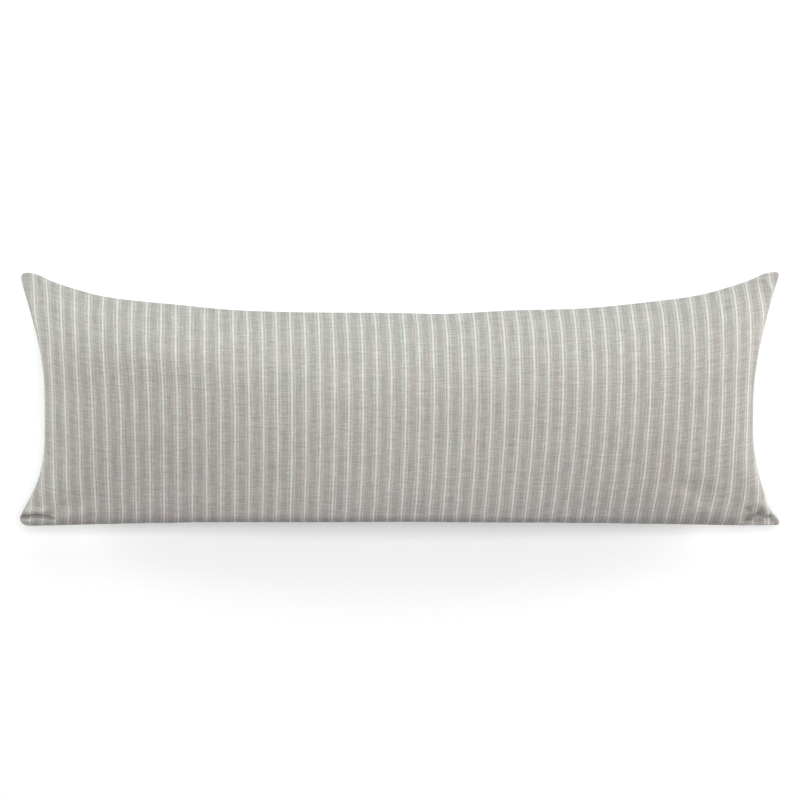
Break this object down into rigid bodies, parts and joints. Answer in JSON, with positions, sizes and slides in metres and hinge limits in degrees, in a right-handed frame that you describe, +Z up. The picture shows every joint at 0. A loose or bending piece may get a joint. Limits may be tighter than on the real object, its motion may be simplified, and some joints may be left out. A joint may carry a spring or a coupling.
{
  "type": "lumbar pillow",
  "caption": "Long filled lumbar pillow in striped linen, with a plump crown, drawn-in edges and flat corner ears, lying on its back.",
  "frame": {"origin": "on the resting plane, under the middle of the pillow's bounding box", "axes": "+X along the pillow, to the right as seen from above with its upper long edge away; +Y to the upper, more drawn-in long edge; +Z up, out of the front panel"},
  "size_m": [0.9128, 0.3062, 0.122],
  "materials": {
    "striped_linen": "matte woven linen with narrow pale stripes on taupe"
  },
  "bodies": {
    "root": {"pillow": "striped_linen"}
  },
  "joints": []
}
